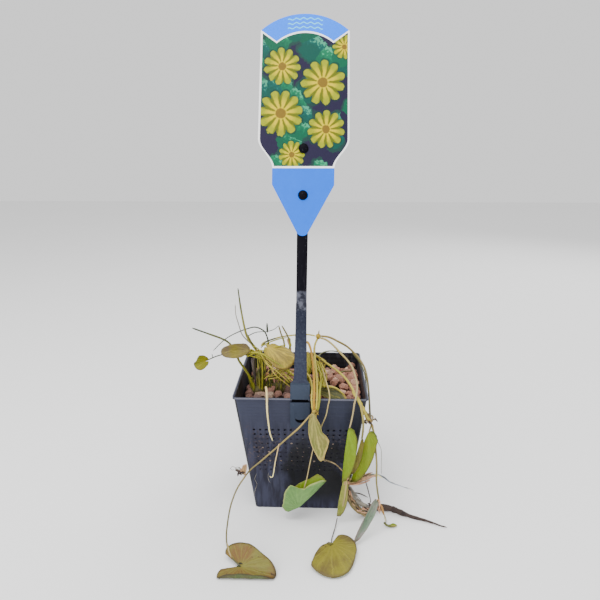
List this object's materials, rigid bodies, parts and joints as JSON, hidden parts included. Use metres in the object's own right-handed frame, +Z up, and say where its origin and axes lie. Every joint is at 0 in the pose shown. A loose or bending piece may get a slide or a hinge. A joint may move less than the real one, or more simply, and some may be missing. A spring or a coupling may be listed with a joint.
{
  "type": "yellow floating heart",
  "caption": "Yellow floating heart in a square pond basket: stems arch over the rim and trail below it, with heart-shaped leaves, pink gravel and a picture label on a clip-on stake.",
  "frame": {"origin": "middle of the pot's underside, where it stands on the surface", "axes": "+Z up, -Y towards the side of the pot that carries the label, +X to the right of the label"},
  "size_m": [0.2165, 0.1893, 0.4021],
  "materials": {
    "pot_plastic": "satin",
    "wet_compost": "matte",
    "pink_gravel": "matte",
    "holder_plastic": "satin",
    "label_card": "satin",
    "crown_brown": "satin",
    "stem_yellow": "satin",
    "stem_green": "satin",
    "root_brown": "satin",
    "root_pale": "satin",
    "leaf_olive": "satin",
    "leaf_yellow": "satin",
    "leaf_glaucous": "satin",
    "leaf_green": "satin"
  },
  "bodies": {
    "root": {"pot": "pot_plastic", "compost": "wet_compost", "gravel": "pink_gravel", "label_holder": "holder_plastic", "label": "label_card", "crown_left": "crown_brown", "crown_middle": "crown_brown", "crown_right": "crown_brown", "joint_left": "stem_yellow", "joint_top": "stem_yellow", "joint_front": "stem_yellow", "joint_right": "stem_yellow", "stem_tuft_outer": "stem_green", "stem_tuft_middle": "stem_green", "stem_tuft_inner": "stem_green", "stem_tall": "stem_green", "stem_thin": "stem_green", "stem_low_left": "stem_green", "stem_arch": "stem_green", "stem_far_leaf": "stem_yellow", "stem_runner": "stem_yellow", "stem_mid_outer": "stem_green", "stem_mid_inner": "stem_green", "stem_low_cross": "stem_yellow", "stem_dry": "stem_yellow", "stem_bundle_back": "stem_yellow", "stem_bundle_arch": "stem_yellow", "stem_bundle_left": "stem_yellow", "stem_bundle_right": "stem_green", "stem_long_left": "stem_yellow", "stem_leaf_folded": "stem_yellow", "stem_right_back": "stem_green", "stem_right_mid": "stem_yellow", "stem_right_front": "stem_yellow", "stem_sliver": "stem_green", "stem_down_right": "stem_yellow", "stem_tiny_leaf": "stem_yellow", "stem_floor_right": "root_brown", "stem_low_right": "stem_yellow", "root_over_rim": "root_pale", "root_side": "root_pale", "root_right": "root_pale", "dry_strap": "root_brown", "leaf_far_left": "leaf_olive", "leaf_left": "leaf_yellow", "leaf_middle": "leaf_yellow", "leaf_upright": "leaf_yellow", "leaf_pale": "leaf_yellow", "leaf_on_gravel": "leaf_olive", "leaf_ragged": "leaf_olive", "leaf_folded": "leaf_glaucous", "leaf_long_front": "leaf_green", "leaf_sliver": "leaf_olive", "leaf_long_back": "leaf_olive", "leaf_narrow": "leaf_olive", "leaf_blue_green": "leaf_glaucous", "leaf_floor_left": "leaf_olive", "leaf_floor_right": "leaf_olive", "leaf_tiny": "leaf_yellow"}
  },
  "joints": []
}
